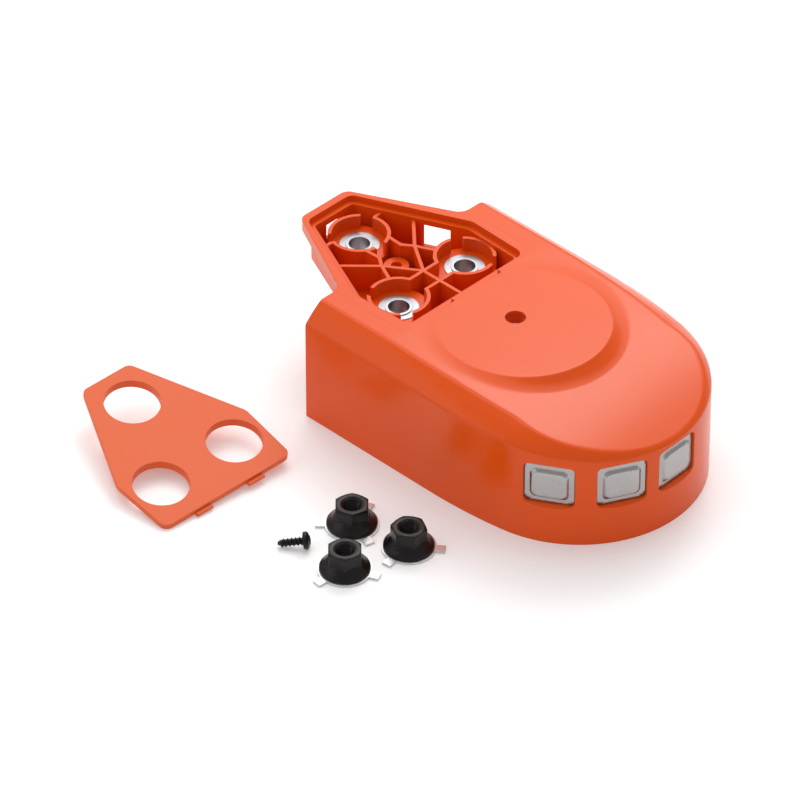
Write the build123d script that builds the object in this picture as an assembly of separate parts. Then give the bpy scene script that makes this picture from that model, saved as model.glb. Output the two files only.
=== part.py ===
"""Side cover of a small engine: moulded housing, cover plate and loose fasteners."""

import math
import os

from build123d import *

os.makedirs("parts", exist_ok=True)

# Body shell, in millimetres.  X runs to the nose, whose arc centre is the working origin.
HALF_WIDTH = 55.0
NOSE_RADIUS = 52.7
BLEND_START = -28.0
BODY_BACK = -98.5
TOP = 54.0
WALL = 2.2
CROWN_START = -60.0
CROWN_SLOPE = 0.02
CROWN_CURVE = 7.3e-6
PLATEAU_X = -30.5
PLATEAU_RADIUS = 35.5
PLATEAU_DEPTH = 6.0
PLATEAU_SPREAD = 1.375
TOP_HOLE_X = -35.0
TOP_HOLE_RADIUS = 4.2
TOP_COLLAR_RADIUS = 7.0
TOP_COLLAR_DEPTH = 4.0

# Shoulder between side wall and crown: (X on the straight side, crease drop, width)
# and (degrees round the nose, crease drop, width).  Drops are measured down from TOP.
SIDE_SHOULDER = ((-110.0, 7.6, 8.8), (-85.0, 7.6, 8.8), (-60.0, 7.6, 8.8), (-42.0, 7.6, 8.9),
                 (-28.0, 7.8, 9.2))
BLEND_SHOULDER = (8.3, 9.9)
NOSE_SHOULDER = ((80.6, 9.4, 8.9), (70.0, 10.1, 6.6), (60.0, 10.8, 4.7), (50.0, 11.7, 3.6),
                 (40.0, 12.4, 2.8), (28.0, 13.0, 2.1), (14.0, 13.3, 1.6), (0.0, 13.4, 1.4))
SHOULDER_DROP = 0.4
SHOULDER_REACH = 3.0
CUTTER_HEIGHT = 30.0

# Mounting foot: outer lip, recess for the cover plate, cavity and floor.
LIP_APEX = -143.4
LIP_APEX_HALF = 13.0
LIP_ROOT_HALF = 35.6
LIP_BLEND_HALF = 43.0
LIP_ANCHOR = 8.0
LIP_DEPTH = 5.0
LIP_APEX_FILLET = 4.5
LIP_ROOT_FILLET = 6.0
RECESS_APEX = -140.0
RECESS_APEX_HALF = 12.3
RECESS_WIDE = -91.5
RECESS_WIDE_HALF = 34.0
RECESS_END = -61.9
RECESS_END_HALF = 33.0
RECESS_DEPTH = 2.5
RECESS_FILLETS = (4.0, 4.0, 7.0, 4.0, 4.0, 7.0)
LEDGE = 2.5
FOOT_WALL = 1.8
FLOOR_TOP = TOP - 16.0
FLOOR = 2.0
RIB_TOP = TOP - 3.8
RIB = 1.5
SEAT_EDGE = 0.8
SEAT_DEPTH = 2.2

# Studs, bushes and wells.
STUD_X = (-122.6, -81.5)
STUD_Y = 19.0
BORE_RADIUS = 4.4
SLEEVE_RADIUS = 5.9
FLANGE_RADIUS = 8.25
FLANGE = 1.5
FLANGE_TOP = TOP - 9.5
WASHER_RADIUS = 11.0
WASHER_HOLE = 6.0
COLLAR_RADIUS = WASHER_HOLE - 0.4
COLLAR = 0.4
BUSH_FOOT = 0.5
WELL_RADIUS = WASHER_RADIUS + 0.3
WELL_WALL = 1.6
WELL_FLOOR = FLANGE_TOP - 0.3
SLOT_WIDTH = 5.2
CHANNEL = (-86.3, -77.0)
BOSS_X = -101.5
BOSS_RADIUS = 5.2
BOSS_TOP = TOP - 9.0
SCREW_HOLE_RADIUS = 2.2
HEAD_POCKET_RADIUS = 4.1
RIB_HUB = (BOSS_X + 1.0, 9.5)
RIB_REST = (BOSS_X - 3.5, 6.2)
RIB_WALL_END = (BOSS_X - 11.5, 21.6)
RIB_APEX_END = (STUD_X[0] + 10.3, 6.5)
RIB_PAIR_END = (STUD_X[1] - 10.8, 13.4)
RIB_SPUR = 3.5
RIB_SPUR_END = 20.0
HEAD_POCKET_TOP = TOP - 13.0

# Openings in the foot walls: centre along the wall, lower and upper depth below TOP, width.
SIDE_OPENING = (-104.25, 15.9, 5.0, 11.7)
APEX_OPENING = (0.0, 12.8, 5.6, 8.0)
SIDE_CLEAR = 21.8

# Cover plate.
PLATE = 2.2
PLATE_GAP = 0.35
PLATE_LIFT = 0.1
PLATE_HOLE_RADIUS = WELL_RADIUS + 0.3
PLATE_COLLAR = 1.3
PLATE_COLLAR_DEPTH = 3.5
PLATE_BOSS_RADIUS = 3.6
PLATE_BOSS_DEPTH = 8.6
PILOT_RADIUS = 1.6
PILOT_TOP = 1.2
HOOK_Y = 13.4
HOOK_WIDTH = 8.0
HOOK_REACH = 1.5
HOOK = 1.1
HOOK_GAP = 0.3
PLATE_TURN = (3.0, 9.3, -4.0)
PLATE_PLACE = (-122.1, -111.2)

# Windows in the nose wall with stamped steel plates.
WINDOW_TURNS = (-59.6, -27.2, 1.9)
WINDOW_Z = 28.0
WINDOW_WIDTH = 20.2
WINDOW_HEIGHT = 18.2
WINDOW_CORNER = 2.0
WINDOW_GAP = 0.2
WINDOW_SHEET = 0.8
WINDOW_SEAT = 2.9
WINDOW_PILLOW = 1.3
WINDOW_RING = 2.0
WINDOW_TAPER = 45.0
WINDOW_RIM = 1.5
WINDOW_PAD = 2.0
WINDOW_PAD_EDGE = 2.2
WINDOW_VIEW = (14.0, 12.0)

# Tab washers, flange nuts and the cover screw.
WASHER = 1.0
TAB_WIDTH = 4.0
TAB_RADIUS = 14.6
TABS = 3
SPIGOT_GAP = 0.05
SPIGOT = 0.5
NUT_GAP = 0.05
NUT_FLANGE_RADIUS = 10.25
NUT_RIM = 1.1
NUT_CONE = 4.0
NUT_CONE_RADIUS = 7.0
NUT_FLATS = 13.0
NUT_HEIGHT = 9.8
NUT_CHAMFER = 1.0
NUT_CHAMFER_RADIUS = 6.3
THREAD_RADIUS = 3.4
THREAD_MOUTH = 1.0
FASTENERS = (("a", -36.0, -91.7, 224.5, 44.5), ("b", -18.3, -113.5, 264.5, 44.5),
             ("c", -10.1, -86.0, 36.5, 62.5))
HEAD_RADIUS = 3.6
HEAD_HEIGHT = 2.6
HEAD_EDGE = 1.0
DRIVE_RADIUS = 1.25
DRIVE_LOBE = 0.45
DRIVE_DEPTH = 1.3
SHANK_RADIUS = 1.9
SHANK = 10.5
POINT = 1.6
POINT_RADIUS = 0.7
SCREW_PLACE = (-42.5, -117.6)
SCREW_HEADING = 41.8

BLEND_RADIUS = (BLEND_START ** 2 / (HALF_WIDTH - NOSE_RADIUS) + HALF_WIDTH + NOSE_RADIUS) / 2
BLEND_Y = HALF_WIDTH - BLEND_RADIUS
BLEND_TURN = math.atan2(-BLEND_Y, -BLEND_START)
STUDS = ((STUD_X[0], 0.0, 0.0), (STUD_X[1], STUD_Y, -90.0), (STUD_X[1], -STUD_Y, 90.0))
BUSH_NAMES = ("apex", "far", "near")
LEDGE_TOP = TOP - RECESS_DEPTH
BEYOND = 10.0


def round_point(centre, radius, turn):
    """Plan point at an angle in radians round a centre."""
    return centre[0] + radius * math.cos(turn), centre[1] + radius * math.sin(turn)


def extrude_between(sketch, low, high):
    """Vertical prism of a plan sketch between two heights."""
    return extrude(Pos(0, 0, low) * sketch, amount=high - low)


def body_outline(inset, back):
    """Plan of the body: straight sides, gentle blends and a round nose."""
    side = HALF_WIDTH - inset
    nose = NOSE_RADIUS - inset
    middle = (math.pi / 2 + BLEND_TURN) / 2
    start = (BLEND_START, side)
    bend = round_point((BLEND_START, BLEND_Y), BLEND_RADIUS - inset, middle)
    touch = round_point((0.0, 0.0), nose, BLEND_TURN)
    upper = [Line((back, side), start), ThreePointArc(start, bend, touch)]
    lower = [edge.mirror(Plane.XZ) for edge in upper]
    tip = ThreePointArc(touch, (nose, 0.0), (touch[0], -touch[1]))
    close = Line((back, side), (back, -side))
    return make_face(upper + [tip, close] + lower)


def crown_height(x):
    """Height of the top surface above the floor, falling towards the nose."""
    fall = max(x - CROWN_START, 0.0)
    return TOP - CROWN_SLOPE * fall - CROWN_CURVE * fall ** 3


def crown_block(inset):
    """Everything below the crown, as a wide block."""
    far = HALF_WIDTH + BEYOND
    steps = [CROWN_START + step * (far - CROWN_START) / 8 for step in range(9)]
    curve = [(x, 0.0, crown_height(x) - inset) for x in steps]
    back = BODY_BACK - 2 * BEYOND
    flat = (back, 0.0, TOP - inset)
    edges = [Line(flat, curve[0]), Spline(*curve), Line(curve[-1], (far, 0.0, -BEYOND))]
    edges += [Line((far, 0.0, -BEYOND), (back, 0.0, -BEYOND)), Line((back, 0.0, -BEYOND), flat)]
    return extrude(make_face(edges), amount=far, both=True)


def shoulder_rows():
    """Wall points with outward normals, crease height and shoulder width, one side."""
    rows = [(x, HALF_WIDTH, 0.0, 1.0, TOP - drop, width) for x, drop, width in SIDE_SHOULDER]
    middle = (math.pi / 2 + BLEND_TURN) / 2
    place = round_point((BLEND_START, BLEND_Y), BLEND_RADIUS, middle)
    drop, width = BLEND_SHOULDER
    rows.append((*place, math.cos(middle), math.sin(middle), TOP - drop, width))
    for degrees, drop, width in NOSE_SHOULDER:
        turn = math.radians(degrees)
        place = round_point((0.0, 0.0), NOSE_RADIUS, turn)
        rows.append((*place, math.cos(turn), math.sin(turn), TOP - drop, width))
    return rows


def shoulder_cutter(inset):
    """Solid above the sloping shoulder that runs round the body."""
    outer, inner = [], []
    for x, y, nx, ny, crease, width in shoulder_rows():
        base = crease - SHOULDER_DROP * inset
        slope = (crown_height(x - nx * width) - inset - base) / width
        for reach, points in ((-SHOULDER_REACH, outer), (width + SHOULDER_REACH / 2, inner)):
            off = inset + reach
            points.append((x - nx * off, y - ny * off, base + slope * reach))
    curves = []
    for points in (outer, inner):
        mirrored = [(x, -y, z) for x, y, z in reversed(points[:-1])]
        curves.append(Edge.make_spline([Vector(*point) for point in points + mirrored]))
    strip = Face.make_surface_from_curves(curves[0], curves[1])
    return Solid.extrude(strip, Vector(0, 0, CUTTER_HEIGHT))


def body_shape(inset, back, base):
    """Solid outer form of the body, moved inwards by an inset."""
    prism = extrude_between(body_outline(inset, back), base, TOP + BEYOND)
    form = prism & crown_block(inset)
    form -= shoulder_cutter(inset)
    high = TOP - inset
    low_radius = PLATEAU_RADIUS + PLATEAU_DEPTH * PLATEAU_SPREAD
    cone = Cone(low_radius, PLATEAU_RADIUS, PLATEAU_DEPTH)
    return form + Pos(PLATEAU_X, 0, high - PLATEAU_DEPTH / 2) * cone


def recess_outline():
    """Plan of the recess that takes the cover plate."""
    half = ((RECESS_APEX, RECESS_APEX_HALF), (RECESS_WIDE, RECESS_WIDE_HALF),
            (RECESS_END, RECESS_END_HALF))
    points = [(half[0][0], -half[0][1]), *half, *[(x, -y) for x, y in reversed(half[1:])]]
    outline = FilletPolyline(*points, radius=list(RECESS_FILLETS), close=True)
    return make_face(outline.edges())


def lip_outline():
    """Plan of the foot's lip, joined to the open end of the body by round corners."""
    anchor = BODY_BACK + LIP_ANCHOR
    half = ((LIP_APEX, LIP_APEX_HALF), (BODY_BACK, LIP_ROOT_HALF), (BODY_BACK, LIP_BLEND_HALF),
            (anchor, LIP_BLEND_HALF))
    points = list(half) + [(x, -y) for x, y in reversed(half)]
    face = make_face(Polyline(*points, close=True).edges())
    for x, y, radius in ((LIP_APEX, LIP_APEX_HALF, LIP_APEX_FILLET),
                         (BODY_BACK, LIP_ROOT_HALF, LIP_ROOT_FILLET)):
        corners = [v for v in face.vertices() if math.dist((v.X, abs(v.Y)), (x, y)) < 0.1]
        face = fillet(corners, radius)
    return face


def rib(start, end):
    """Plan of one straight rib between two points."""
    run = Vector(*end) - Vector(*start)
    middle = (Vector(*start) + Vector(*end)) / 2
    turn = math.degrees(math.atan2(run.Y, run.X))
    return Pos(middle.X, middle.Y) * Rot(0, 0, turn) * Rectangle(run.length + RIB, RIB)


def rib_plan():
    """Plan of all the ribs between the wells, mirrored about the middle."""
    left, right = CHANNEL
    apex, pair = STUD_X
    well = WELL_RADIUS + WELL_WALL / 2
    join = STUD_Y - math.sqrt(well ** 2 - max(abs(pair - left), abs(pair - right)) ** 2)
    hub, rest = RIB_HUB, RIB_REST
    side = ((RIB_WALL_END, hub), (hub, (left, 0.0)), (RIB_APEX_END, rest), (rest, hub),
            (hub, RIB_PAIR_END), ((left, 0.0), (left, join)), ((right, 0.0), (right, join)),
            ((apex - RIB_SPUR, well - WELL_WALL / 2), (apex - RIB_SPUR, RIB_SPUR_END)))
    plan = rib((left, 0.0), (RECESS_END, 0.0))
    for start, end in side:
        plan += rib(start, end)
        plan += rib((start[0], -start[1]), (end[0], -end[1]))
    return plan


def well_outlines(radius):
    """Circles round the three studs."""
    return [Pos(x, y) * Circle(radius) for x, y, turn in STUDS]


def slot_cutters():
    """Slots in the well walls that take the washer tabs."""
    cuts = []
    length = TAB_RADIUS + 1.0
    for x, y, turn in STUDS:
        for tab in range(TABS):
            channel = tab == 0 and y != 0.0
            width = CHANNEL[1] - CHANNEL[0] - RIB if channel else SLOT_WIDTH
            block = Pos(length / 2, 0) * Rectangle(length, width)
            middle = (CHANNEL[0] + CHANNEL[1]) / 2 - x if channel else 0.0
            turned = Pos(x + middle, y) * Rot(0, 0, turn + tab * 360 / TABS) * block
            cuts.append(extrude_between(turned, WELL_FLOOR, TOP))
    return cuts


def window_plane(turn, inset):
    """Plane facing out of the nose at a window, moved in from the wall."""
    angle = math.radians(turn)
    outward = Vector(math.cos(angle), math.sin(angle), 0)
    along = Vector(-math.sin(angle), math.cos(angle), 0)
    origin = outward * (NOSE_RADIUS - inset) + Vector(0, 0, WINDOW_Z)
    return Plane(origin=origin, x_dir=along, z_dir=outward)


def window_pad(turn):
    """Flat pad inside the nose wall behind one window."""
    size = (WINDOW_WIDTH + 2 * WINDOW_PAD_EDGE, WINDOW_HEIGHT + 2 * WINDOW_PAD_EDGE)
    seat = window_plane(turn, WINDOW_SEAT + WINDOW_PAD)
    return extrude(seat * Rectangle(*size), amount=WINDOW_PAD + WALL / 2)


def window_cutter(turn):
    """Pocket with a bevelled rim and the opening behind the plate."""
    width = WINDOW_WIDTH + 2 * WINDOW_GAP
    height = WINDOW_HEIGHT + 2 * WINDOW_GAP
    seat = window_plane(turn, WINDOW_SEAT)
    rim = window_plane(turn, WINDOW_RIM)
    through = window_plane(turn, WINDOW_SEAT + WINDOW_PAD + 1.0)
    outline = RectangleRounded(width, height, WINDOW_CORNER)
    pocket = extrude(seat * outline, amount=WINDOW_SEAT)
    bevel = extrude(rim * outline, amount=WINDOW_RIM + 1.0, taper=-40)
    return pocket + bevel + extrude(through * Rectangle(*WINDOW_VIEW), amount=WINDOW_PAD + 2.0)


def make_housing():
    """One moulded piece: thin shell, ribbed foot, wells and window seats."""
    shell = body_shape(0.0, BODY_BACK, 0.0)
    hollow = body_shape(WALL, BODY_BACK - BEYOND, -BEYOND)
    recess = recess_outline()
    cavity = offset(recess, amount=-LEDGE)
    box = offset(recess, amount=FOOT_WALL - LEDGE)
    housing = shell - hollow
    for turn in WINDOW_TURNS:
        housing += window_pad(turn) & shell
    collar = Cylinder(TOP_COLLAR_RADIUS, TOP_COLLAR_DEPTH)
    housing += Pos(TOP_HOLE_X, 0, TOP - WALL - TOP_COLLAR_DEPTH / 2) * collar
    housing += extrude_between(lip_outline(), TOP - LIP_DEPTH, TOP)
    housing += extrude_between(box, FLOOR_TOP - FLOOR, TOP - RECESS_DEPTH)
    seat = offset(recess, amount=SEAT_EDGE) - cavity
    housing += extrude_between(seat, LEDGE_TOP - SEAT_DEPTH, TOP - WALL / 2)
    housing -= extrude_between(recess, LEDGE_TOP, TOP + BEYOND)
    housing -= extrude_between(cavity, FLOOR_TOP, TOP)
    ribs = extrude_between(rib_plan(), FLOOR_TOP, RIB_TOP)
    for outline in well_outlines(WELL_RADIUS + WELL_WALL):
        ribs += extrude_between(outline, FLOOR_TOP, RIB_TOP)
    for outline in well_outlines(WELL_RADIUS):
        ribs -= extrude_between(outline, WELL_FLOOR, TOP)
    for cutter in slot_cutters():
        ribs -= cutter
    ribs += Pos(BOSS_X, 0, (FLOOR_TOP + BOSS_TOP) / 2) * Cylinder(BOSS_RADIUS, BOSS_TOP - FLOOR_TOP)
    inside = offset(recess, amount=FOOT_WALL / 2 - LEDGE)
    housing += ribs & extrude_between(inside, FLOOR_TOP - FLOOR, TOP)
    return cut_housing(housing)


def cut_housing(housing):
    """Bores, windows, hook notches and openings."""
    for x, y, turn in STUDS:
        housing -= Pos(x, y, FLANGE_TOP - FLANGE / 2) * Cylinder(FLANGE_RADIUS, FLANGE)
        housing -= Pos(x, y, (FLANGE_TOP + FLOOR_TOP - BEYOND) / 2) * Cylinder(
            SLEEVE_RADIUS, FLANGE_TOP - FLOOR_TOP + BEYOND)
    for turn in WINDOW_TURNS:
        housing -= window_cutter(turn)
    housing -= Pos(TOP_HOLE_X, 0, TOP) * Cylinder(TOP_HOLE_RADIUS, 2 * BEYOND)
    housing -= Pos(BOSS_X, 0, BOSS_TOP) * Cylinder(SCREW_HOLE_RADIUS, 2 * BEYOND)
    pocket = HEAD_POCKET_TOP - FLOOR_TOP + FLOOR + 1.0
    housing -= Pos(BOSS_X, 0, HEAD_POCKET_TOP - pocket / 2) * Cylinder(HEAD_POCKET_RADIUS, pocket)
    notch = HOOK_REACH + 2 * HOOK_GAP
    for y in (-HOOK_Y, HOOK_Y):
        block = Box(2 * notch, HOOK_WIDTH + 2 * HOOK_GAP, RECESS_DEPTH + 1.0)
        housing -= Pos(RECESS_END, y, LEDGE_TOP + (RECESS_DEPTH + 1.0) / 2) * block
    x, low, high, width = SIDE_OPENING
    middle = (LIP_BLEND_HALF + SIDE_CLEAR) / 2
    block = Pos(x, middle) * Rectangle(width, LIP_BLEND_HALF - SIDE_CLEAR)
    housing -= extrude_between(block, TOP - low, TOP - high)
    y, low, high, width = APEX_OPENING
    block = Pos(RECESS_APEX, y) * Rectangle(BEYOND, width)
    housing -= extrude_between(block, TOP - low, TOP - high)
    return housing


def make_bush():
    """Flanged sleeve moulded into the foot, with a raised ring round its bore."""
    bottom = FLOOR_TOP - FLOOR - BUSH_FOOT
    points = ((BORE_RADIUS, bottom), (SLEEVE_RADIUS, bottom),
              (SLEEVE_RADIUS, FLANGE_TOP - FLANGE), (FLANGE_RADIUS, FLANGE_TOP - FLANGE),
              (FLANGE_RADIUS, FLANGE_TOP), (COLLAR_RADIUS, FLANGE_TOP),
              (COLLAR_RADIUS, FLANGE_TOP + COLLAR), (BORE_RADIUS, FLANGE_TOP + COLLAR))
    return turned(points)


def turned(points):
    """Solid of revolution about Z from radius and height pairs."""
    edges = Polyline(*[(radius, 0.0, height) for radius, height in points], close=True)
    return revolve(make_face(edges.edges()), axis=Axis.Z)


def make_window_plate(turn):
    """Stamped sheet with a flat flange and a raised bevelled field."""
    seat = window_plane(turn, WINDOW_SEAT)
    front = window_plane(turn, WINDOW_SEAT - WINDOW_SHEET)
    sheet = RectangleRounded(WINDOW_WIDTH, WINDOW_HEIGHT, WINDOW_CORNER)
    width = WINDOW_WIDTH - 2 * WINDOW_RING
    height = WINDOW_HEIGHT - 2 * WINDOW_RING
    field = RectangleRounded(width, height, WINDOW_CORNER)
    plate = extrude(seat * sheet, amount=WINDOW_SHEET)
    return plate + extrude(front * field, amount=WINDOW_PILLOW, taper=WINDOW_TAPER)


def make_cover_plate():
    """Cover plate in its seated place, with hooks, collars and a screw boss."""
    top = LEDGE_TOP + PLATE_LIFT + PLATE
    low = top - PLATE
    recess = recess_outline()
    plate = extrude_between(offset(recess, amount=-PLATE_GAP), low, top)
    clear = offset(recess, amount=-LEDGE - PLATE_GAP)
    rings = extrude_between(clear, top - PLATE_COLLAR_DEPTH, low)
    collars = [extrude_between(outline, top - PLATE_COLLAR_DEPTH, low)
               for outline in well_outlines(PLATE_HOLE_RADIUS + PLATE_COLLAR)]
    for collar in collars:
        plate += collar & rings
    plate += Pos(BOSS_X, 0, low - (PLATE_BOSS_DEPTH - PLATE) / 2) * Cylinder(
        PLATE_BOSS_RADIUS, PLATE_BOSS_DEPTH - PLATE)
    for outline in well_outlines(PLATE_HOLE_RADIUS):
        plate -= extrude_between(outline, low - BEYOND, top + BEYOND)
    pilot = PLATE_BOSS_DEPTH - PILOT_TOP
    plate -= Pos(BOSS_X, 0, top - PLATE_BOSS_DEPTH + pilot / 2) * Cylinder(PILOT_RADIUS, pilot)
    reach = HOOK_REACH + PLATE_GAP + 1.0
    for y in (-HOOK_Y, HOOK_Y):
        place = Pos(RECESS_END + HOOK_REACH - reach / 2, y, low + HOOK / 2)
        plate += place * Box(reach, HOOK_WIDTH, HOOK)
    return plate, top


def place_cover_plate():
    """Cover plate laid on the bench, its apex raised."""
    plate, top = make_cover_plate()
    centre = (STUD_X[0] + STUD_X[1]) / 2
    tilt = Rot(0, 0, PLATE_TURN[2]) * Rot(0, PLATE_TURN[1], 0) * Rot(PLATE_TURN[0], 0, 0)
    loose = Pos(*PLATE_PLACE, 0) * tilt * Pos(-centre, 0, -top) * plate
    return Pos(0, 0, -loose.bounding_box().min.Z) * loose


def make_washer(x, y, turn):
    """Tab washer lying on the floor."""
    ring = Circle(WASHER_RADIUS)
    for tab in range(TABS):
        strip = Pos(TAB_RADIUS / 2, 0) * Rectangle(TAB_RADIUS, TAB_WIDTH)
        ring += Rot(0, 0, turn + tab * 360 / TABS) * strip
    ring -= Circle(WASHER_HOLE)
    return Pos(x, y) * extrude_between(ring, 0.0, WASHER)


def make_nut(x, y, turn):
    """Flange nut standing on its washer, its spigot in the washer's hole."""
    base = WASHER + NUT_GAP
    top = base + NUT_HEIGHT
    corner = NUT_FLATS / math.sqrt(3)
    flange = turned(((0.0, base), (NUT_FLANGE_RADIUS, base), (NUT_FLANGE_RADIUS, base + NUT_RIM),
                     (NUT_CONE_RADIUS, base + NUT_CONE), (0.0, base + NUT_CONE)))
    limit = turned(((0.0, base), (corner + 1.0, base), (corner + 1.0, top - NUT_CHAMFER),
                    (NUT_CHAMFER_RADIUS, top), (0.0, top)))
    hexagon = extrude_between(Rot(0, 0, turn) * RegularPolygon(corner, 6), base, top) & limit
    spigot = Pos(0, 0, base - SPIGOT / 2) * Cylinder(WASHER_HOLE - SPIGOT_GAP, SPIGOT)
    bore = turned(((0.0, base - SPIGOT), (THREAD_RADIUS, base - SPIGOT),
                   (THREAD_RADIUS, top - THREAD_MOUTH), (THREAD_RADIUS + THREAD_MOUTH, top),
                   (0.0, top)))
    return Pos(x, y) * (flange + hexagon + spigot - bore)


def make_screw():
    """Pan head self-tapping screw lying on the rim of its head and its thread."""
    profile = ((0.0, 0.0), (HEAD_RADIUS - 1.0, 0.0), (HEAD_RADIUS, HEAD_HEIGHT - HEAD_EDGE),
               (HEAD_RADIUS, HEAD_HEIGHT), (SHANK_RADIUS, HEAD_HEIGHT),
               (SHANK_RADIUS, HEAD_HEIGHT + SHANK - POINT),
               (POINT_RADIUS, HEAD_HEIGHT + SHANK), (0.0, HEAD_HEIGHT + SHANK))
    screw = turned(profile)
    drive = Cylinder(DRIVE_RADIUS, 2 * DRIVE_DEPTH)
    for lobe in range(6):
        place = Rot(0, 0, lobe * 60) * Pos(DRIVE_RADIUS, 0, 0)
        drive += place * Cylinder(DRIVE_LOBE, 2 * DRIVE_DEPTH)
    screw -= drive
    run = SHANK - POINT + HEAD_EDGE
    tilt = math.degrees(math.asin((HEAD_RADIUS - SHANK_RADIUS) / run))
    middle = (HEAD_HEIGHT + SHANK) / 2
    lay = Rot(0, 0, SCREW_HEADING) * Rot(0, -90 - tilt, 0) * Pos(0, 0, -middle)
    lying = Pos(*SCREW_PLACE, 0) * lay * screw
    return Pos(0, 0, -lying.bounding_box().min.Z) * lying


def make_parts():
    """Every node of the part by name, in the working frame."""
    nodes = {"housing": make_housing(), "cover_plate": place_cover_plate()}
    for name, (x, y, turn) in zip(BUSH_NAMES, STUDS):
        nodes["bush_" + name] = Pos(x, y) * make_bush()
    for index, turn in enumerate(WINDOW_TURNS):
        nodes[f"window_plate_{index + 1}"] = make_window_plate(turn)
    for name, x, y, tab_turn, hex_turn in FASTENERS:
        nodes["tab_washer_" + name] = make_washer(x, y, tab_turn)
        nodes["flange_nut_" + name] = make_nut(x, y, hex_turn)
    nodes["cover_screw"] = make_screw()
    return nodes


def main():
    """Move the origin under the middle of everything and write one file per node."""
    nodes = make_parts()
    box = Compound(children=[Compound(node.solids()) for node in nodes.values()]).bounding_box()
    centre = box.center()
    shift = Pos(-centre.X, -centre.Y, -box.min.Z)
    print(f"shift {-centre.X:.3f} {-centre.Y:.3f} {-box.min.Z:.3f} size {box.size}")
    for name, node in nodes.items():
        export_step(shift * node, f"parts/{name}.step")


if __name__ == "__main__":
    main()
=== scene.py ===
"""Engine side cover kit: moulded skin, ribbed foot, window plates and loose fasteners."""
import math

import bmesh
import bpy
import numpy as np
from mathutils import Matrix, Vector


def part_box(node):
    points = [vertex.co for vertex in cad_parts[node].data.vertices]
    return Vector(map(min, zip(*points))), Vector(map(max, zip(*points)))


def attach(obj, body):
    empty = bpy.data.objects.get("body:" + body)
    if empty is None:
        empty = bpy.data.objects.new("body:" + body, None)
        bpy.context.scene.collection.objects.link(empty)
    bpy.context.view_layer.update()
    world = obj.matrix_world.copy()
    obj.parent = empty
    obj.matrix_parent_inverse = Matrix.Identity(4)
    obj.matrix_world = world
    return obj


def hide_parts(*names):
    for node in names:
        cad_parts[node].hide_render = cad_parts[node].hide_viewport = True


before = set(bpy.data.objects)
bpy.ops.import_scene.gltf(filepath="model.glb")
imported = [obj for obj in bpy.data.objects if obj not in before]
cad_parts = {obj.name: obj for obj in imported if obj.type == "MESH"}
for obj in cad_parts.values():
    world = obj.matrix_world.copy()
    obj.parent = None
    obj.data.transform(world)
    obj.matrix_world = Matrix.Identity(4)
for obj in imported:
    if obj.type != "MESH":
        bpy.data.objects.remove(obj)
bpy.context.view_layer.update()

bl_info = {
    "name": "Engine Cover Kit",
    "version": (1, 0, 0),
    "blender": (4, 5, 0),
    "location": "View3D > Sidebar > Cover Kit",
    "description": "Builds a moulded engine cover with its foot, plates and fasteners",
    "category": "Object",
}

MM = 0.001
HOUSING_LOW, HOUSING_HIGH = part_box("housing")

# Body, in millimetres from the centre of the nose arc.
HALF_WIDTH = (HOUSING_HIGH.y - HOUSING_LOW.y) / MM / 2
NOSE_RADIUS = 52.7
BLEND_START = -28.0
BODY_BACK = -98.5
TOP = HOUSING_HIGH.z / MM
WALL = 2.2
CENTRE = Vector((HOUSING_HIGH.x - NOSE_RADIUS * MM, (HOUSING_LOW.y + HOUSING_HIGH.y) / 2, 0.0))
CROWN_START = -60.0
CROWN_SLOPE = 0.02
CROWN_CURVE = 7.3e-6
DISC_X = -30.5
DISC_RADIUS = 35.0
DISC_BAND = 8.5
DISC_EASE = 0.12
TOP_HOLE_X = -35.0
TOP_HOLE_RADIUS = 4.2
SIDE_CREASE = (46.4, 8.8)
SHOULDER_TURNS = (0.0, 14.0, 28.0, 40.0, 50.0, 60.0, 70.0, 80.6, 85.3, 90.0)
SHOULDER_CREASE = (40.6, 40.7, 41.0, 41.6, 42.3, 43.2, 43.9, 44.6, 45.7, 46.2)
SHOULDER_WIDTH = (1.4, 1.6, 2.1, 2.8, 3.6, 4.7, 6.6, 8.9, 9.9, 9.2)
BLEND_RADIUS = (BLEND_START ** 2 / (HALF_WIDTH - NOSE_RADIUS) + HALF_WIDTH + NOSE_RADIUS) / 2
BLEND_Y = HALF_WIDTH - BLEND_RADIUS
BLEND_TURN = math.atan2(-BLEND_Y, -BLEND_START)

# The foot is taken from the solid model inside this plan, and the skin leaves it open.
FOOT_END = -59.0
FOOT_HALF = 38.0
FOOT_ROOT_HALF = 46.6
FOOT_BACK = -146.0

FOOT_CUT = (30.0, 60.0)
GAP_CUT = (48.0, 60.0)

# Windows in the nose: plate, seat and the opening behind it.
WINDOW_TURNS = (-59.6, -27.2, 1.9)
WINDOW_Z = 28.0
WINDOW_WIDTH = 20.2
WINDOW_HEIGHT = 18.2
WINDOW_SEAT = 2.9
WINDOW_GAP = 0.2
WINDOW_CORNER = 2.0
WINDOW_SHEET = 0.8
WINDOW_RISE = 1.3
WINDOW_FLANGE = 1.95
WINDOW_SLOPE = 1.45
PAD_EDGE = 4.4
PAD_DEPTH = 2.0
PAD_OPENING = (14.0, 12.0)
PAD_CORNER = 1.0

# Collar under the crown's hole: outer radius, low and high.
COLLAR = (7.0, 47.8, 52.2)

# Flange nuts and the screw.
NUTS = ("a", "b", "c")
HEX_TURNS = (44.5, 44.5, 62.5)
NUT_FLATS = 13.0
NUT_FLANGE = 10.25
NUT_SPIGOT = 5.95
NUT_SPIGOT_DEPTH = 0.5
NUT_CONE_SLOPE = 0.80
NUT_CHAMFER = 6.3
NUT_THREAD = 3.4
NUT_PITCH = 1.25
SCREW_HEAD = 3.6
SCREW_SHANK = 1.9
SCREW_RUN = 9.9
SCREW_TIP = 13.1
SCREW_PITCH = 1.6
SCREW_HEADING = 41.8
BUSHES = ("apex", "far", "near")


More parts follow.
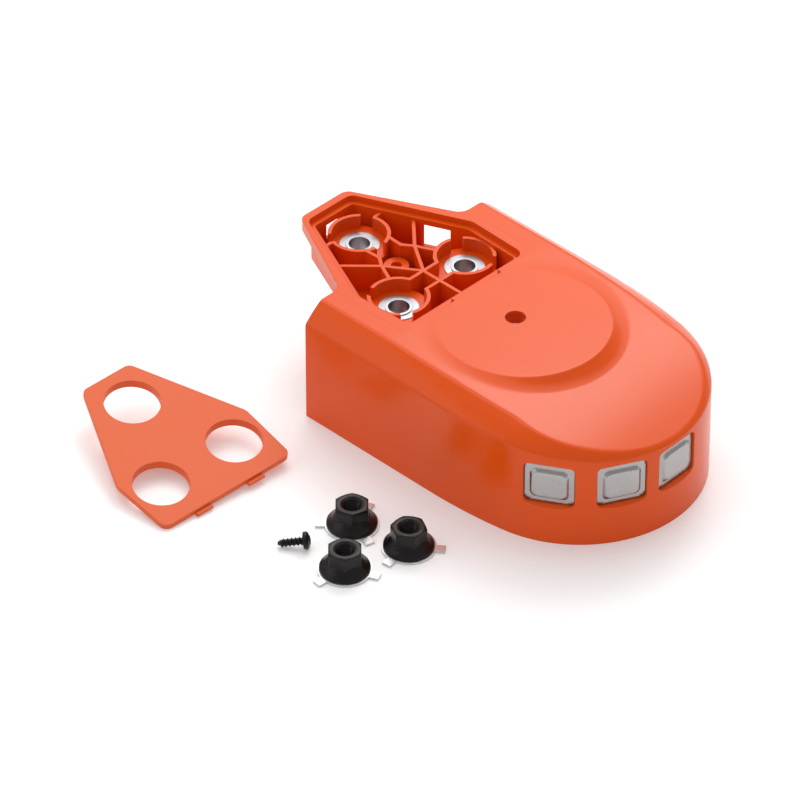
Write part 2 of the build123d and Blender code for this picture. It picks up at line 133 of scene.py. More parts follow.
def place(points):
    """Millimetres from the nose centre become metres in the frame."""
    return np.asarray(points, float) * MM + np.array(CENTRE)


def grid_faces(rows, columns, wrap_rows=False, wrap_columns=False):
    """Quads of a grid whose points are numbered row by row."""
    r = np.arange(rows if wrap_rows else rows - 1)
    c = np.arange(columns if wrap_columns else columns - 1)
    r, c = np.meshgrid(r, c, indexing="ij")
    below, beside = (r + 1) % rows, (c + 1) % columns
    quads = (r * columns + c, r * columns + beside, below * columns + beside, below * columns + c)
    return np.stack(quads, -1).reshape(-1, 4)


def mesh_from(name, points, faces, smooth=40.0, merge=1e-6):
    """New object from arrays of points in metres and faces, with doubles merged."""
    mesh = bpy.data.meshes.new(name)
    mesh.from_pydata(points.tolist(), [], [list(face) for face in faces])
    mesh.update()
    piece = bpy.data.objects.new(name, mesh)
    bpy.context.scene.collection.objects.link(piece)
    tidy_mesh(piece, smooth, merge)
    return piece


def tidy_mesh(piece, smooth, merge, recalculate=True):
    """Merges doubles, points faces outwards and shades smooth below an angle."""
    work = bmesh.new()
    work.from_mesh(piece.data)
    bmesh.ops.remove_doubles(work, verts=work.verts, dist=merge)
    bmesh.ops.dissolve_degenerate(work, edges=work.edges, dist=merge)
    if recalculate:
        bmesh.ops.recalc_face_normals(work, faces=work.faces)
    limit = math.radians(smooth)
    for face in work.faces:
        face.smooth = True
    for edge in work.edges:
        edge.smooth = edge.is_manifold and edge.calc_face_angle(0.0) <= limit
    work.to_mesh(piece.data)
    work.free()


def apply_modifiers(piece):
    """Writes the modified mesh into the piece and clears its modifiers."""
    depsgraph = bpy.context.evaluated_depsgraph_get()
    mesh = bpy.data.meshes.new_from_object(piece.evaluated_get(depsgraph))
    old = piece.data
    piece.modifiers.clear()
    piece.data = mesh
    bpy.data.meshes.remove(old)


def weigh_normals(piece):
    """Shading normals that follow the larger faces, so flat areas stay flat."""
    modifier = piece.modifiers.new("normals", "WEIGHTED_NORMAL")
    modifier.keep_sharp = True
    modifier.weight = 50
    apply_modifiers(piece)


def combine(piece, other, operation):
    """Exact boolean of two closed pieces; the second one is used up."""
    modifier = piece.modifiers.new(operation, "BOOLEAN")
    modifier.operation = operation
    modifier.solver = "EXACT"
    modifier.object = other
    apply_modifiers(piece)
    bpy.data.objects.remove(other)


def join(name, pieces):
    """One object from several, at the origin."""
    work = bmesh.new()
    for piece in pieces:
        work.from_mesh(piece.data)
    mesh = bpy.data.meshes.new(name)
    work.to_mesh(mesh)
    work.free()
    joined = bpy.data.objects.new(name, mesh)
    bpy.context.scene.collection.objects.link(joined)
    for piece in pieces:
        bpy.data.objects.remove(piece)
    return joined


def cad_copy(node, name, smooth=30.0):
    """Merged, smooth-shaded copy of a node of the solid model."""
    piece = bpy.data.objects.new(name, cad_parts[node].data.copy())
    bpy.context.scene.collection.objects.link(piece)
    tidy_mesh(piece, smooth, 2e-6, recalculate=False)
    return piece


def finish_piece(piece, body, slot, material, *nodes):
    """Material, body and replaced nodes of a finished piece; the slot argument is not used."""
    piece.data.materials.clear()
    piece.data.materials.append(material)
    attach(piece, body)
    if nodes:
        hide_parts(*nodes)


def prism(name, outline, low, high):
    """Closed prism over a plan outline, in millimetres."""
    count = len(outline)
    levels = [np.c_[outline, np.full(count, level)] for level in (low, high)]
    sides = grid_faces(2, count, wrap_columns=True)
    faces = [list(face) for face in sides] + [list(range(count)), list(range(count, 2 * count))]
    return mesh_from(name, place(np.concatenate(levels)), faces)


def rounded_outline(width, height, corner, steps=6):
    """Rectangle with round corners, as points going round once."""
    quarter = np.radians(np.linspace(0, 90, steps))
    turns = quarter[None, :] + np.radians(np.arange(4) * 90)[:, None]
    signs = np.array(((1, 1), (-1, 1), (-1, -1), (1, -1)))
    half = np.array((width / 2 - corner, height / 2 - corner))
    corners = (signs * half)[:, None, :]
    return (corners + corner * np.stack((np.cos(turns), np.sin(turns)), -1)).reshape(-1, 2)


# ---------------------------------------------------------------- body skin

def wall_stations():
    """Points along the body wall from one open end round the nose to the other.

    Straight side, a blend arc about its own centre and the nose arc: each point is the
    arc's centre plus its radius along the outward normal, and the far half is mirrored."""
    side_x = np.linspace(BODY_BACK, BLEND_START, 60, endpoint=False)
    side = np.c_[side_x, np.full(60, HALF_WIDTH), np.zeros(60), np.ones(60)]
    blend_turn = np.linspace(math.pi / 2, BLEND_TURN, 30, endpoint=False)
    normal = np.c_[np.cos(blend_turn), np.sin(blend_turn)]
    blend = np.c_[np.array((BLEND_START, BLEND_Y)) + BLEND_RADIUS * normal, normal]
    nose_turn = np.linspace(BLEND_TURN, 0.0, 76)
    normal = np.c_[np.cos(nose_turn), np.sin(nose_turn)]
    nose = np.c_[NOSE_RADIUS * normal, normal]
    half = np.concatenate((side, blend, nose))
    turn = np.degrees(np.arctan2(half[:, 3], half[:, 2]))
    crease = smooth_table(turn, SHOULDER_CREASE)
    width = smooth_table(turn, SHOULDER_WIDTH)
    ease = np.clip((half[:, 0] - BLEND_START + 20.0) / 20.0, 0.0, 1.0)
    straight = half[:, 0] < BLEND_START
    side_crease, side_width = SIDE_CREASE
    eased_crease = side_crease + (SHOULDER_CREASE[-1] - side_crease) * ease
    eased_width = side_width + (SHOULDER_WIDTH[-1] - side_width) * ease
    crease = np.where(straight, eased_crease, crease)
    width = np.where(straight, eased_width, width)
    half = np.c_[half, crease, width]
    mirrored = half[-2::-1] * np.array((1, -1, 1, -1, 1, 1))
    return np.concatenate((half, mirrored))


def smooth_table(turn, values):
    """Table values by angle, softened by averaging over a few neighbouring angles."""
    offsets = np.linspace(-5.0, 5.0, 9)
    samples = [np.interp(np.clip(turn + o, 0, 90), SHOULDER_TURNS, values) for o in offsets]
    return np.mean(samples, axis=0)


def top_height(x, y):
    """Crown falling as a line plus a cubic towards the nose, with a raised disc.

    Past the disc's radius the height left above the crown dies away with the square of
    the way across a band, after a short ease, so the disc melts away where the crown is
    as high as it."""
    fall = np.maximum(x - CROWN_START, 0.0)
    crown = TOP - CROWN_SLOPE * fall - CROWN_CURVE * fall ** 3
    way = np.clip((np.hypot(x - DISC_X, y) - DISC_RADIUS) / DISC_BAND, 0.0, 1.0)
    way = np.where(way < DISC_EASE, way ** 2 / (2 * DISC_EASE), way - DISC_EASE / 2)
    left = (1.0 - way / (1.0 - DISC_EASE / 2)) ** 2
    return crown + (TOP - crown) * left


def corner_curve(before, corner, after, steps):
    """Quadratic curve from one point to another, pulled towards the corner."""
    t = np.linspace(0, 1, steps)[:, None, None]
    return (1 - t) ** 2 * before + 2 * t * (1 - t) * corner + t ** 2 * after


def skin_rows(stations):
    """Inset and height of each row from the bottom rim up over the shoulder.

    The wall is upright, a small curve turns into the sloping shoulder, which bulges as
    half a sine, and a softer curve turns into the crown."""
    crease, width = stations[:, 4], stations[:, 5]
    inner = inset_points(stations, width)
    rise = top_height(inner[:, 0], inner[:, 1]) - crease
    length = np.hypot(width, rise)
    low = np.minimum(1.3, length * 0.3)
    high = np.minimum(1.6, length * 0.4)
    along = np.c_[width / length, rise / length]
    zero = np.zeros_like(width)
    start = np.c_[zero, crease - low]
    corner = np.c_[zero, crease]
    after = corner + along * low[:, None]
    before = np.c_[width, crease + rise] - along * high[:, None]
    past = inset_points(stations, width + high)
    end = np.c_[width + high, top_height(past[:, 0], past[:, 1])]
    levels = np.linspace(0.0, 1.0, 22)[:, None]
    wall = np.stack((np.zeros((22, len(zero))), levels * start[:, 1]), -1)
    t = np.linspace(0, 1, 6)[1:-1, None, None]
    slope = after + t * (before - after)
    bulge = 0.035 * (length - low - high) * np.sin(np.pi * t[..., 0])
    slope[..., 1] += bulge
    first = corner_curve(start, corner, after, 7)[1:]
    last = corner_curve(before, np.c_[width, crease + rise], end, 9)
    return np.concatenate((wall, first, slope, last))


def inset_points(stations, inset):
    """Plan points moved inwards from the wall along its normal."""
    return stations[:, :2] - stations[:, 2:4] * np.asarray(inset)[..., None]


def body_skin():
    """Wall and shoulder grid, crown grid and wall thickness; the windows and top hole are cut in
    housing().
    """
    stations = wall_stations()
    rows = skin_rows(stations)
    plan = stations[None, :, :2] - stations[None, :, 2:4] * rows[..., :1]
    wall = np.concatenate((plan, rows[..., 1:]), -1)
    upper = wall[-1]
    steps = np.linspace(0, 1, 61)[1:-1, None]
    back = upper[-1] + steps * (upper[0] - upper[-1])
    border = np.concatenate((upper, back))
    centre = np.array((DISC_X, 0.0))
    ray = border[:, :2] - centre
    reach = np.hypot(ray[:, 0], ray[:, 1])
    share = np.concatenate((np.array((0.0, 8, 16, 24, 31)), np.linspace(34.6, 43.0, 26)))
    inner = np.minimum(share[:, None] / reach, 1.0) * np.ones_like(reach)
    start = 43.0 / reach
    t = np.linspace(0, 1, 15)[1:, None]
    outer = start + t * (1.0 - start)
    fraction = np.concatenate((inner, outer))
    flat = centre + fraction[..., None] * ray
    height = top_height(flat[..., 0], flat[..., 1])
    height[-1] = border[:, 2]
    crown = np.concatenate((flat, height[..., None]), -1)
    wall_faces = grid_faces(len(rows), len(stations))
    crown_faces = grid_faces(len(fraction), len(border), wrap_columns=True)
    points = np.concatenate((wall.reshape(-1, 3), crown.reshape(-1, 3)))
    faces = np.concatenate((wall_faces, crown_faces + wall.shape[0] * wall.shape[1]))
    skin = mesh_from("body_skin", place(points), faces, merge=3e-5)
    if sum(p.normal.z * p.area for p in skin.data.polygons) < 0:
        skin.data.flip_normals()
    solid = skin.modifiers.new("wall", "SOLIDIFY")
    solid.thickness = WALL * MM
    solid.offset = -1
    solid.use_even_offset = True
    apply_modifiers(skin)
    return skin


def window_frame(turn):
    """Matrix from a window's own plane to the frame, its Z pointing out of the nose."""
    angle = math.radians(turn)
    out = Vector((math.cos(angle), math.sin(angle), 0))
    along = Vector((-math.sin(angle), math.cos(angle), 0))
    up = Vector((0, 0, 1))
    origin = CENTRE + out * NOSE_RADIUS * MM + up * WINDOW_Z * MM
    turned = Matrix((along, up, out)).transposed().to_4x4()
    return Matrix.Translation(origin) @ turned


def stacked(name, outlines, depths, matrix):
    """Closed form through outlines at given depths, in a window's plane."""
    rings = [np.c_[outline, np.full(len(outline), depth)]
             for outline, depth in zip(outlines, depths)]
    count = len(outlines[0])
    faces = [list(f) for f in grid_faces(len(rings), count, wrap_columns=True)]
    faces += [list(range(count)), list(range((len(rings) - 1) * count, len(rings) * count))]
    points = np.concatenate(rings) * MM
    piece = mesh_from(name, points, faces)
    piece.data.transform(matrix)
    tidy_mesh(piece, 40.0, 1e-6)
    return piece


def window_pocket(turn):
    """Cutter: pocket down to the seat, rolled rim and the opening behind."""
    width, height = WINDOW_WIDTH + 2 * WINDOW_GAP, WINDOW_HEIGHT + 2 * WINDOW_GAP
    depths = (-WINDOW_SEAT, -1.55, -1.3, -1.0, -0.6, 0.0, 2.0)
    grow = (0.0, 0.0, 0.06, 0.25, 0.62, 1.3, 3.6)
    rings = [rounded_outline(width + 2 * g, height + 2 * g, WINDOW_CORNER + g) for g in grow]
    return stacked("pocket", rings, depths, window_frame(turn))


def window_pad(turn):
    """Seat behind a window: a flat frame inside the wall round an opening."""
    matrix = window_frame(turn)
    width, height = WINDOW_WIDTH + PAD_EDGE, WINDOW_HEIGHT + PAD_EDGE
    outer = rounded_outline(width, height, PAD_CORNER)
    inner = rounded_outline(*PAD_OPENING, PAD_CORNER)
    rings = (outer, outer, inner, inner)
    back = -WINDOW_SEAT - PAD_DEPTH
    depths = (back, -WINDOW_SEAT, -WINDOW_SEAT, back)
    points = np.concatenate([np.c_[ring, np.full(len(ring), d)] for ring, d in zip(rings, depths)])
    faces = grid_faces(4, len(outer), wrap_rows=True, wrap_columns=True)
    pad = mesh_from("pad", points * MM, faces)
    pad.data.transform(matrix)
    return pad


def top_hole():
    """Cutter for the hole in the crown: a cylinder about its centre."""
    turns = np.linspace(0, 2 * math.pi, 65)[:-1]
    ring = np.c_[TOP_HOLE_X + TOP_HOLE_RADIUS * np.cos(turns), TOP_HOLE_RADIUS * np.sin(turns)]
    return prism("hole", ring, 40.0, 60.0)


def top_collar():
    """Stiffening collar under the hole, as a ring with a square section."""
    outer, low, high = COLLAR
    profile = np.array(((TOP_HOLE_RADIUS, low), (outer, low), (outer, high),
                        (TOP_HOLE_RADIUS, high)))
    ring = revolve_points(profile, 64)
    points = ring + np.array((TOP_HOLE_X, 0.0, 0.0))
    return mesh_from("collar", place(points), grid_faces(4, 64, True, True))


def revolve_points(profile, columns):
    """Radius and height pairs turned about Z."""
    turns = np.linspace(0, 2 * math.pi, columns + 1)[:-1]
    radius, height = profile[:, :1], profile[:, 1:]
    ones = np.ones_like(turns)
    around = np.stack((radius * np.cos(turns), radius * np.sin(turns), height * ones), -1)
    return around.reshape(-1, 3)


def foot():
    """Lip, recess, wells and ribs from the solid model, cut where the skin starts."""
    piece = cad_copy("housing", "foot")
    half = np.array(((FOOT_BACK, FOOT_ROOT_HALF), (BODY_BACK, FOOT_ROOT_HALF),
                     (BODY_BACK, FOOT_HALF), (FOOT_END, FOOT_HALF)))
    plan = np.concatenate((half, half[::-1] * np.array((1, -1))))
    combine(piece, prism("plan", plan, *FOOT_CUT), "INTERSECT")
    return piece


def housing():
    """Skin with its cuts, joined with the pads, the collar and the foot."""
    skin = body_skin()
    gap = np.array(((BODY_BACK - 2, FOOT_HALF), (FOOT_END, FOOT_HALF), (FOOT_END, -FOOT_HALF),
                    (BODY_BACK - 2, -FOOT_HALF)))
    combine(skin, prism("gap", gap, *GAP_CUT), "DIFFERENCE")
    combine(skin, top_hole(), "DIFFERENCE")
    for turn in WINDOW_TURNS:
        combine(skin, window_pocket(turn), "DIFFERENCE")
    pads = [window_pad(turn) for turn in WINDOW_TURNS]
    whole = join("housing_moulding", [skin, top_collar(), *pads, foot()])
    tidy_mesh(whole, 32.0, 1e-6, recalculate=False)
    weigh_normals(whole)
    return whole


# ---------------------------------------------------------------- small pieces

def window_plate(index, turn):
    """Stamped plate: each ring is a rounded rectangle, inset and raised.

    The flange is flat, a short S-shaped slope rises to the field, and the back is flat."""
    t = np.linspace(0, 1, 12)
    rise = WINDOW_RISE * (3 * t ** 2 - 2 * t ** 3)
    slope = WINDOW_FLANGE + WINDOW_SLOPE * t
    inset = np.concatenate(((0.0, 0.0, 0.12, 1.2, 1.8), slope, (5.0, 7.0, 9.0)))
    height = np.concatenate(((-WINDOW_SHEET, -0.12, 0.0, 0.0, 0.0), rise, (WINDOW_RISE,) * 3))
    rings = []
    for gap, level in zip(inset, height):
        corner = max(WINDOW_CORNER + 0.25 * min(gap, 3.8) - 0.5 * max(gap - 3.8, 0.0), 0.05)
        corner = min(corner, WINDOW_HEIGHT / 2 - gap - 0.01)
        rings.append(rounded_outline(WINDOW_WIDTH - 2 * gap, WINDOW_HEIGHT - 2 * gap, corner, 10))
    depths = height - WINDOW_SEAT + WINDOW_SHEET
    return stacked(f"stamped_window_{index}", rings, depths, window_frame(turn))


def hex_radius(turn, flats, rounding):
    """Distance from the middle to a hexagon's side, its corners slightly rounded."""
    side = (turn + math.pi / 6) % (math.pi / 3) - math.pi / 6
    radius = flats / 2 / np.cos(side)
    return np.minimum(radius, flats / math.sqrt(3) - rounding * (1 - np.abs(side) / (math.pi / 6)))


def flange_nut(name, hex_turn):
    """Flange nut as one closed loop of rows: spigot, flange, hexagon, mouth and thread.

    Hexagon rows take their radius from the hexagon and their height from the flange's
    cone below and the chamfer's cone above; thread rows add a triangle wave of the
    turn less the height over the pitch."""
    low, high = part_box("flange_nut_" + name)
    middle = (low + high) / 2
    base, top = low.z / MM + NUT_SPIGOT_DEPTH, high.z / MM
    columns, pitch, thread = 180, NUT_PITCH, NUT_THREAD
    turn = np.linspace(0, 2 * math.pi, columns + 1)[:-1]
    hexagon = hex_radius(turn - math.radians(hex_turn), NUT_FLATS, 0.25)
    chamfer = top - np.maximum(hexagon - NUT_CHAMFER, 0.0) * 0.5
    cone = base + 1.2 + (NUT_FLANGE - hexagon) * NUT_CONE_SLOPE

    def ring(radius, height):
        return np.stack((radius * np.ones(columns), height * np.ones(columns)), -1)

    foot = base - NUT_SPIGOT_DEPTH
    rows = [ring(thread, foot), ring(NUT_SPIGOT, foot), ring(NUT_SPIGOT, base), ring(10.0, base),
            ring(10.2, base + 0.08), ring(NUT_FLANGE, base + 0.35), ring(10.22, base + 0.85),
            ring(10.0, base + 1.15), ring(9.7, base + 1.35)]
    for t in np.linspace(0.15, 1.0, 8):
        radius = 9.7 + (hexagon + 0.35 - 9.7) * t
        dip = 0.25 * math.sin(math.pi * t)
        rows.append(ring(radius, base + 1.35 + (cone - base - 1.35) * t - dip))
    rows.append(ring(hexagon + 0.08, cone + 0.15))
    rows.append(ring(hexagon, cone + 0.45))
    rows += [ring(hexagon, cone + 0.45 + (chamfer - cone - 0.6) * t)
             for t in np.linspace(0.1, 1.0, 6)]
    rows.append(ring(hexagon - 0.05, chamfer - 0.03))
    rows.append(ring(hexagon - 0.18, chamfer + 0.05))
    flat = np.minimum(hexagon - 0.3, NUT_CHAMFER)
    rows += [ring(flat, top - 0.03), ring(flat - 0.3, top), ring(4.75, top),
             ring(4.55, top - 0.05)]
    for height in np.arange(top - 0.9, base - 0.3, -pitch / 10):
        wave = np.abs(((turn / (2 * math.pi) - height / pitch) % 1.0) * 2 - 1)
        start = np.clip((height - base + 0.3) / 0.4, 0, 1)
        end = np.clip((top - 0.7 - height) / 0.5, 0, 1)
        rows.append(ring(thread + 0.6 * wave * (start * end), height))
    grid = np.array(rows)
    points = np.stack((grid[..., 0] * np.cos(turn), grid[..., 0] * np.sin(turn), grid[..., 1]), -1)
    metres = points.reshape(-1, 3) * MM + np.array((middle.x, middle.y, 0.0))
    faces = grid_faces(len(rows), columns, True, True)
    return mesh_from("black_nut_" + name, metres, faces, 38.0)


def screw():
    """Pan head screw as rows along its axis: star socket, domed head and a thread.

    The socket's radius is a circle plus a cosine of six turns; the thread's radius adds a
    narrow ridge where the turn matches the height over the pitch."""
    columns, pitch = 96, SCREW_PITCH
    turn = np.linspace(0, 2 * math.pi, columns + 1)[:-1]
    star = 1.35 + 0.28 * np.cos(6 * turn)
    ones = np.ones(columns)
    rows = [(0.02 * ones, 1.3), (star * 0.8, 1.3), (star, 1.2), (star, 0.15), (star + 0.1, 0.02)]
    rows += [(SCREW_HEAD * math.sin(a) * ones, 1.35 - 1.3 * math.cos(a))
             for a in np.radians(np.arange(35, 90, 6))]
    rows += [(SCREW_HEAD * ones, 1.5), (SCREW_HEAD * ones, 2.35), (3.5 * ones, 2.55),
             (3.3 * ones, 2.6), (1.75 * ones, 2.6), (1.5 * ones, 2.8)]
    for height in np.arange(2.9, 13.05, pitch / 16):
        phase = (turn / (2 * math.pi) - height / pitch) % 1.0
        ridge = np.maximum(1 - np.abs(phase - 0.5) / 0.24, 0.0)
        taper = min((SCREW_TIP - height) / 2.2, 1.0)
        core = 0.6 + 0.75 * min(taper * 1.4, 1.0)
        rows.append((core + 0.55 * ridge * min(taper * 1.3, 1.0), height))
    rows.append((0.02 * ones, SCREW_TIP))
    radius = np.array([row[0] for row in rows])
    height = np.array([row[1] for row in rows])[:, None] * ones
    points = np.stack((radius * np.cos(turn), radius * np.sin(turn), height), -1).reshape(-1, 3)
    faces = [list(f) for f in grid_faces(len(rows), columns, wrap_columns=True)]
    faces += [list(range(columns)), list(range((len(rows) - 1) * columns, len(rows) * columns))]
    piece = mesh_from("black_screw", points * MM, faces, 45.0)
    tilt = math.asin((SCREW_HEAD - SCREW_SHANK) / SCREW_RUN)
    heading = Matrix.Rotation(math.radians(SCREW_HEADING), 4, "Z")
    lay = heading @ Matrix.Rotation(-math.pi / 2 - tilt, 4, "Y")
    piece.data.transform(lay)
    low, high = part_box("cover_screw")
    corners = np.array([v.co for v in piece.data.vertices])
    shift = (np.array(low) + np.array(high) - corners.min(0) - corners.max(0)) / 2
    shift[2] = low.z - corners[:, 2].min()
    piece.data.transform(Matrix.Translation(shift))
    return piece


# ---------------------------------------------------------------- materials

class Wire:
    """A node's output, with arithmetic that adds Math nodes."""

    def __init__(self, graph, socket):
        self.graph = graph
        self.socket = socket

    def math(self, operation, first, second):
        return self.graph.add("ShaderNodeMath", {0: first, 1: second}, operation=operation)

    def __add__(self, other):
        return self.math("ADD", self, other)

    def __radd__(self, other):
        return self.math("ADD", other, self)

    def __sub__(self, other):
        return self.math("SUBTRACT", self, other)

    def __rsub__(self, other):
        return self.math("SUBTRACT", other, self)

    def __mul__(self, other):
        return self.math("MULTIPLY", self, other)

    def __rmul__(self, other):
        return self.math("MULTIPLY", other, self)


class Graph:
    """One material's nodes; every node comes from add()."""

    def __init__(self, name):
        self.material = bpy.data.materials.new(name)
        self.material.use_nodes = True
        self.tree = self.material.node_tree
        self.tree.nodes.clear()
        self.place = self.add("ShaderNodeTexCoord", {}, output="Object")

    def add(self, kind, values, output=0, **settings):
        """A node of a type, its settings first, then its sockets' values or links."""
        node = self.tree.nodes.new(kind)
        for key, value in settings.items():
            setattr(node, key, value)
        for key, value in values.items():
            if isinstance(value, Wire):
                self.tree.links.new(value.socket, node.inputs[key])
            else:
                node.inputs[key].default_value = value
        return Wire(self, node.outputs[output])

    def noise(self, scale, detail=2.0, stretch=None):
        """Noise in the piece's own coordinates, stretched if asked."""
        vector = self.place
        if stretch:
            vector = self.add("ShaderNodeMapping", {"Vector": vector, "Scale": stretch})
        return self.add("ShaderNodeTexNoise", {"Vector": vector, "Scale": scale, "Detail": detail})

    def mix(self, factor, first, second):
        """Colour between two colours."""
        values = {"Factor": factor, 6: (*first, 1.0), 7: (*second, 1.0)}
        return self.add("ShaderNodeMix", values, output=2, data_type="RGBA")

    def bump(self, height, distance, normal=None, strength=1.0):
        """Bump from a height, over an earlier normal."""
        values = {"Height": height, "Distance": distance, "Strength": strength}
        if normal:
            values["Normal"] = normal
        return self.add("ShaderNodeBump", values)

    def surface(self, **values):
        """Principled surface and the output."""
        named = {key.replace("_", " "): value for key, value in values.items()}
        shader = self.add("ShaderNodeBsdfPrincipled", named)
        self.add_output(shader)
        return self.material

    def add_output(self, shader):
        node = self.tree.nodes.new("ShaderNodeOutputMaterial")
        self.tree.links.new(shader.socket, node.inputs["Surface"])


def moulded(name, color, roughness, edge):
    """Moulded nylon: soft edges, faint flow marks, fine grain and uneven gloss."""
    graph = Graph(name)
    flow = graph.noise(38.0, 3.0, (1.0, 1.6, 1.0))
    cloud = graph.noise(9.0, 1.0)
    grain = graph.noise(2600.0, 1.0)
    peel = graph.noise(210.0, 1.0)
    deep = tuple(c * 0.93 for c in color)
    light = tuple(min(c * 1.05 + 0.004, 1.0) for c in color)
    shade = graph.mix(flow * 0.5 + cloud * 0.5, deep, light)
    soft = graph.add("ShaderNodeBevel", {"Radius": edge * MM}, samples=4)
    waves = graph.bump(peel, 0.00002, soft, 0.35)
    normal = graph.bump(grain, 0.000006, waves, 0.5)
    rough = roughness + (flow - 0.5) * 0.10 + (grain - 0.5) * 0.06
    return graph.surface(Base_Color=shade, Roughness=rough, Normal=normal, IOR=1.5,
                         Specular_IOR_Level=0.26)


def stamped_steel(name, color, roughness):
    """Rolled sheet: fine lines across one way, cloudy tarnish and small pits."""
    graph = Graph(name)
    lines = graph.noise(900.0, 3.0, (1.0, 1.0, 0.06))
    cloud = graph.noise(160.0, 3.0)
    pits = graph.noise(1500.0, 1.0)
    dark = tuple(c * 0.72 for c in color)
    shade = graph.mix(cloud * 0.6 + lines * 0.4, dark, color)
    rough = roughness + (cloud - 0.5) * 0.22 + (lines - 0.5) * 0.12
    soft = graph.add("ShaderNodeBevel", {"Radius": 0.15 * MM}, samples=4)
    scored = graph.bump(lines, 0.000012, soft, 0.5)
    normal = graph.bump(pits, 0.000008, scored, 0.4)
    return graph.surface(Base_Color=shade, Metallic=1.0, Roughness=rough, Normal=normal)


def turned_metal(name, color, centre):
    """Machined metal: rings about a centre, with a little uneven polish."""
    graph = Graph(name)
    back = tuple(-c for c in centre)
    middle = graph.add("ShaderNodeMapping", {"Vector": graph.place, "Location": back})
    rings = graph.add("ShaderNodeTexWave", {"Vector": middle, "Scale": 420.0, "Distortion": 0.6,
                                            "Detail": 1.0}, wave_type="RINGS", rings_direction="Z")
    cloud = graph.noise(240.0, 2.0)
    shade = graph.mix(cloud, tuple(c * 0.86 for c in color), color)
    soft = graph.add("ShaderNodeBevel", {"Radius": 0.15 * MM}, samples=4)
    normal = graph.bump(rings, 0.000012, soft, 0.6)
    rough = 0.36 + (cloud - 0.5) * 0.18
    return graph.surface(Base_Color=shade, Metallic=1.0, Roughness=rough, Normal=normal)


def black_oxide(name, color):
    """Blackened steel: mottled brown-black, dull in patches, with a fine forged skin."""
    graph = Graph(name)
    cloud = graph.noise(330.0, 3.0)
    fine = graph.noise(1900.0, 2.0)
    warm = (color[0] * 1.9 + 0.004, color[1] * 1.5 + 0.002, color[2] * 1.3 + 0.002)
    shade = graph.mix(cloud * 0.7 + fine * 0.3, color, warm)
    rough = 0.33 + (cloud - 0.5) * 0.22 + (fine - 0.5) * 0.10
    soft = graph.add("ShaderNodeBevel", {"Radius": 0.2 * MM}, samples=4)
    rolled = graph.bump(cloud, 0.00003, soft, 0.5)
    normal = graph.bump(fine, 0.000012, rolled, 0.6)
    return graph.surface(Base_Color=shade, Metallic=0.5, Roughness=rough, Normal=normal)


def floor_paint():
    """Matt white table with a barely visible tooth."""
    graph = Graph("studio_white")
    tooth = graph.noise(700.0, 2.0)
    shade = graph.mix(tooth, (0.86, 0.86, 0.86), (0.88, 0.88, 0.88))
    normal = graph.bump(tooth, 0.00001, None, 0.3)
    return graph.surface(Base_Color=shade, Roughness=0.6, Normal=normal,
                         Emission_Color=(1.0, 1.0, 1.0, 1.0), Emission_Strength=0.2)


# ---------------------------------------------------------------- add-on

def color_property(name, description, default):
    """Colour setting with sensible limits."""
    return bpy.props.FloatVectorProperty(name=name, description=description, default=default,
                                         subtype="COLOR", size=3, min=0.0, max=1.0)


class CoverFinishSettings(bpy.types.PropertyGroup):
    orange: color_property("Moulding orange", "Colour of the moulded shell", (0.82, 0.086, 0.002))
    plate_orange: color_property("Plate orange", "Colour of the cover plate", (0.80, 0.122, 0.024))
    steel: color_property("Sheet steel", "Colour of the washers' sheet", (0.72, 0.71, 0.70))
    # Window plates: the washers' sheet steel darkened as painted shade, standing in for the dark
    # surroundings the plates would reflect.
    window_steel: color_property("Window steel", "Colour of the window plates", (0.50, 0.49, 0.48))
    bush_metal: color_property("Bush metal", "Colour of the turned bushes", (0.40, 0.41, 0.43))
    black: color_property("Black oxide", "Colour of the nuts and screw", (0.005, 0.005, 0.005))
    gloss: bpy.props.FloatProperty(name="Shell roughness", description="Roughness of the shell",
                                   default=0.24, min=0.0, max=1.0, subtype="FACTOR")
    plate_gloss: bpy.props.FloatProperty(name="Plate roughness",
                                         description="Roughness of the cover plate",
                                         default=0.42, min=0.0, max=1.0, subtype="FACTOR")


class CoverStageSettings(bpy.types.PropertyGroup):
    """Camera and light."""

    azimuth: bpy.props.FloatProperty(name="Camera azimuth", description="Turn round the kit",
                                     default=math.radians(44.49), subtype="ANGLE")
    elevation: bpy.props.FloatProperty(name="Camera elevation",
                                       description="Angle over the table",
                                       default=math.radians(38.06), subtype="ANGLE")
    distance: bpy.props.FloatProperty(name="Camera distance", description="From the kit's middle",
                                      default=2.7758, unit="LENGTH")
    lens: bpy.props.FloatProperty(name="Lens", description="Focal length", default=308.45,
                                  unit="CAMERA")
    sky: bpy.props.FloatProperty(name="Sky", description="Strength of the even light", default=0.5)


class COVERKIT_OT_housing(bpy.types.Operator):
    """Build the moulded housing with its foot"""

    bl_idname = "coverkit.housing"
    bl_label = "Housing"

    def execute(self, context):
        look = context.scene.cover_finish
        material = moulded("orange_shell", look.orange, look.gloss, 0.35)
        finish_piece(housing(), "housing", "orange_gloss", material, "housing")
        return {"FINISHED"}


class COVERKIT_OT_windows(bpy.types.Operator):
    """Build the stamped plates in the nose windows"""

    bl_idname = "coverkit.windows"
    bl_label = "Window plates"

    def execute(self, context):
        # The plates get the darkened steel: painted shade in place of dark surroundings to
        # reflect.
        material = stamped_steel("shaded_window_sheet", context.scene.cover_finish.window_steel, 0.3)
        for index, turn in enumerate(WINDOW_TURNS, 1):
            plate = window_plate(index, turn)
            finish_piece(plate, "housing", "window_steel", material, f"window_plate_{index}")
        return {"FINISHED"}


class COVERKIT_OT_bushes(bpy.types.Operator):
    """Build the three turned bushes"""

    bl_idname = "coverkit.bushes"
    bl_label = "Bushes"

    def execute(self, context):
        for name in BUSHES:
            low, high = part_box("bush_" + name)
            color = context.scene.cover_finish.bush_metal
            metal = turned_metal("turned_" + name, color, (low + high) / 2)
            piece = cad_copy("bush_" + name, "turned_bush_" + name)
            finish_piece(piece, "housing", "bush_metal", metal, "bush_" + name)
        return {"FINISHED"}


